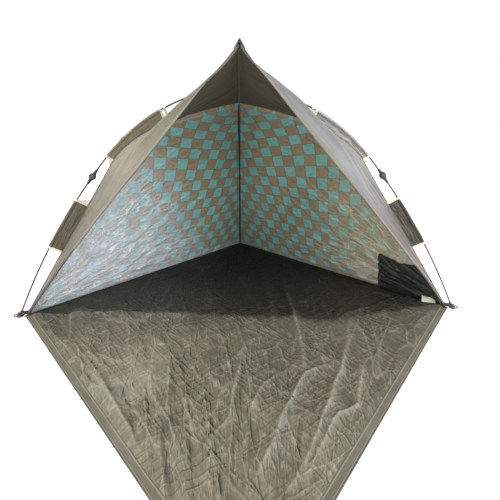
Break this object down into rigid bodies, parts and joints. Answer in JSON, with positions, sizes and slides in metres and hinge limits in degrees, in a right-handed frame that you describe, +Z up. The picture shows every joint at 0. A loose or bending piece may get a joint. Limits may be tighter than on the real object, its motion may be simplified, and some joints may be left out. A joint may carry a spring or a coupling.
{
  "type": "beach tent",
  "caption": "Pop-up beach shelter of coated cloth on bowed legs that meet at a hub, with a visor over the opening and a door flap that lies on the ground and zips up.",
  "frame": {"origin": "on the ground, half way between the left and the right floor corner, where the opening's foot line crosses the middle of the tent", "axes": "+Z up, +Y from the opening towards the rear corner, +X to the right corner as seen from the front"},
  "size_m": [2.2016, 2.1998, 1.1459],
  "materials": {
    "wall_cloth": "coated polyester, teal and brown checks inside, semi-gloss",
    "shell_cloth": "coated polyester, semi-gloss",
    "sleeve_cloth": "woven polyester, matt",
    "floor_cloth": "coated floor cloth, semi-gloss",
    "flap_cloth": "coated floor cloth, semi-gloss",
    "black_tape": "woven tape, matt",
    "webbing": "woven webbing, matt",
    "black_plastic": "moulded, satin",
    "fibreglass": "smooth, satin",
    "mesh_cloth": "fine open mesh",
    "tag_cloth": "plain woven tape, blank"
  },
  "bodies": {
    "tent": {"floor_sheet": "floor_cloth", "fold_seam": "black_tape", "rear_wall_left": "wall_cloth", "rear_wall_right": "wall_cloth", "front_panel_left": "shell_cloth", "front_panel_right": "shell_cloth", "opening_zip_left": "black_tape", "opening_zip_right": "black_tape", "rear_seam_tape": "black_tape", "visor_ridge_tape": "black_tape", "hub": "black_plastic", "crown_tie": "webbing", "visor_strut": "fibreglass", "peak_cap": "black_plastic", "mesh_pocket": "mesh_cloth", "pocket_binding": "black_tape", "blank_tag": "tag_cloth", "lower_pole_left": "fibreglass", "upper_pole_left": "fibreglass", "elbow_left": "black_plastic", "foot_left": "black_plastic", "corner_strap_left": "webbing", "lower_sleeve_left": "sleeve_cloth", "upper_sleeve_left": "sleeve_cloth", "lower_pole_right": "fibreglass", "upper_pole_right": "fibreglass", "elbow_right": "black_plastic", "foot_right": "black_plastic", "corner_strap_right": "webbing", "lower_sleeve_right": "sleeve_cloth", "upper_sleeve_right": "sleeve_cloth", "lower_pole_rear": "fibreglass", "upper_pole_rear": "fibreglass", "elbow_rear": "black_plastic", "foot_rear": "black_plastic", "corner_strap_rear": "webbing", "lower_sleeve_rear": "sleeve_cloth", "upper_sleeve_rear": "sleeve_cloth"},
    "flap": {"front_flap": "flap_cloth", "flap_zip_left": "black_tape", "flap_zip_right": "black_tape"}
  },
  "joints": [
    {"name": "flap_fold", "type": "hinge", "parent": "tent", "child": "flap", "pos_m": [0, -0.0143, 0.002], "axis": [-1, 0, 0], "range_deg": [0, 80]}
  ]
}
